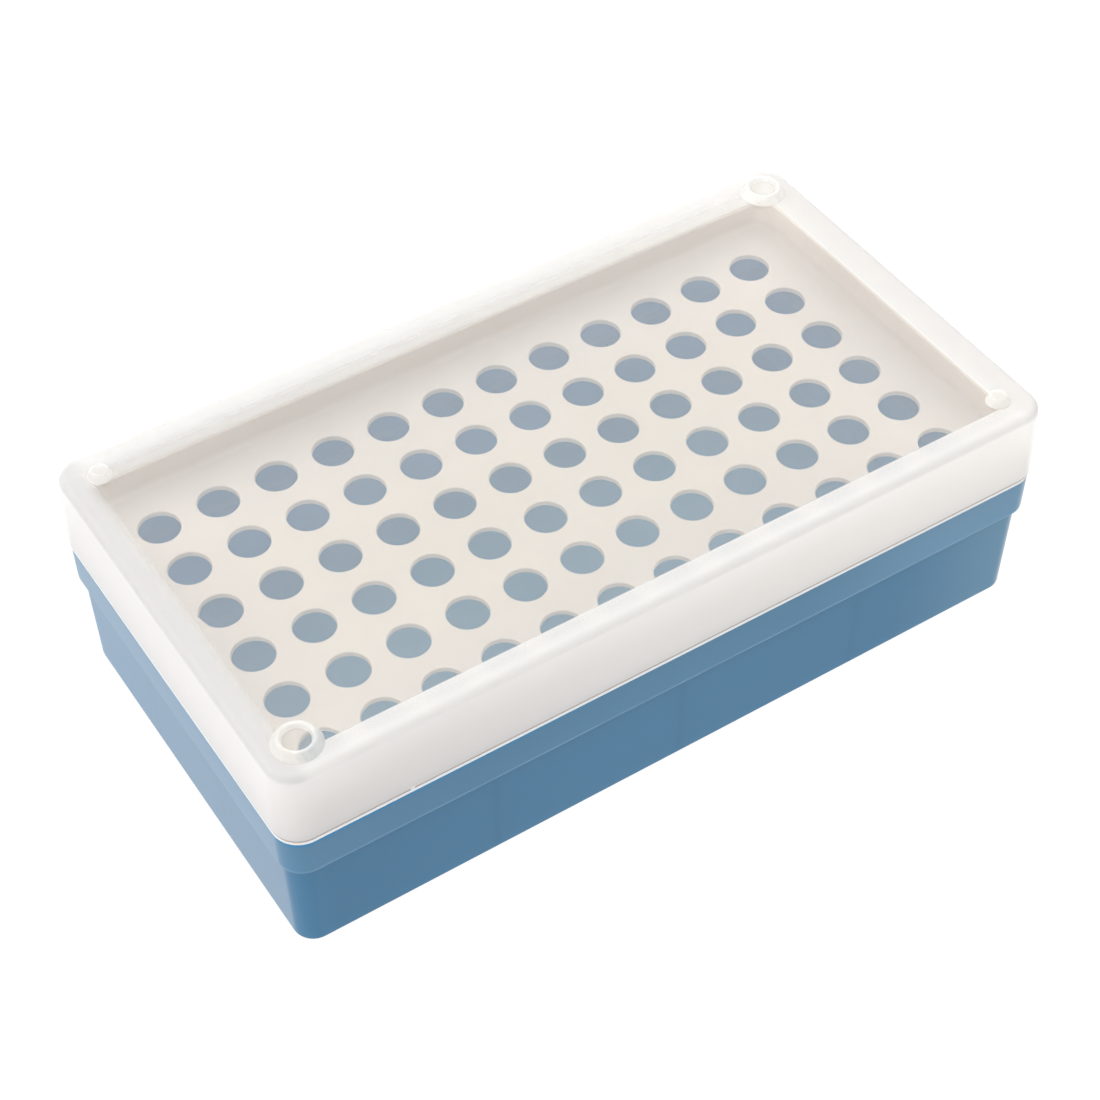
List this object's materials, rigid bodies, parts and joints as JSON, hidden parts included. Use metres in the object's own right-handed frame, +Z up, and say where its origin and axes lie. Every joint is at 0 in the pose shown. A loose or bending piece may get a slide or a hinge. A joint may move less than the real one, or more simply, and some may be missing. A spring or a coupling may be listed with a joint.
{
  "type": "test tube rack",
  "caption": "Rectangular bench box for microtubes: a deep opaque tray, a perforated rack plate that stands in its mouth and a frosted lift-off lid with stacking bosses.",
  "frame": {"origin": "centre of the tray's underside, on the surface it stands on", "axes": "+X along the length (12 holes), +Y across the width (6 holes), +Z up"},
  "size_m": [0.224, 0.1206, 0.0683],
  "materials": {
    "tray_plastic": "blue moulded plastic, satin, slightly translucent at the rim",
    "rack_plastic": "off-white moulded plastic, satin",
    "lid_plastic": "frosted translucent plastic with a clear window in the top"
  },
  "bodies": {
    "tray": {"base_tray": "tray_plastic"},
    "rack": {"tube_rack": "rack_plastic"},
    "lid": {"lift_off_lid": "lid_plastic"}
  },
  "joints": [
    {"name": "rack_lift", "type": "slide", "parent": "tray", "child": "rack", "axis": [0, 0, 1], "range_m": [0, 0.1]},
    {"name": "lid_lift", "type": "slide", "parent": "rack", "child": "lid", "axis": [0, 0, 1], "range_m": [0, 0.08]}
  ]
}
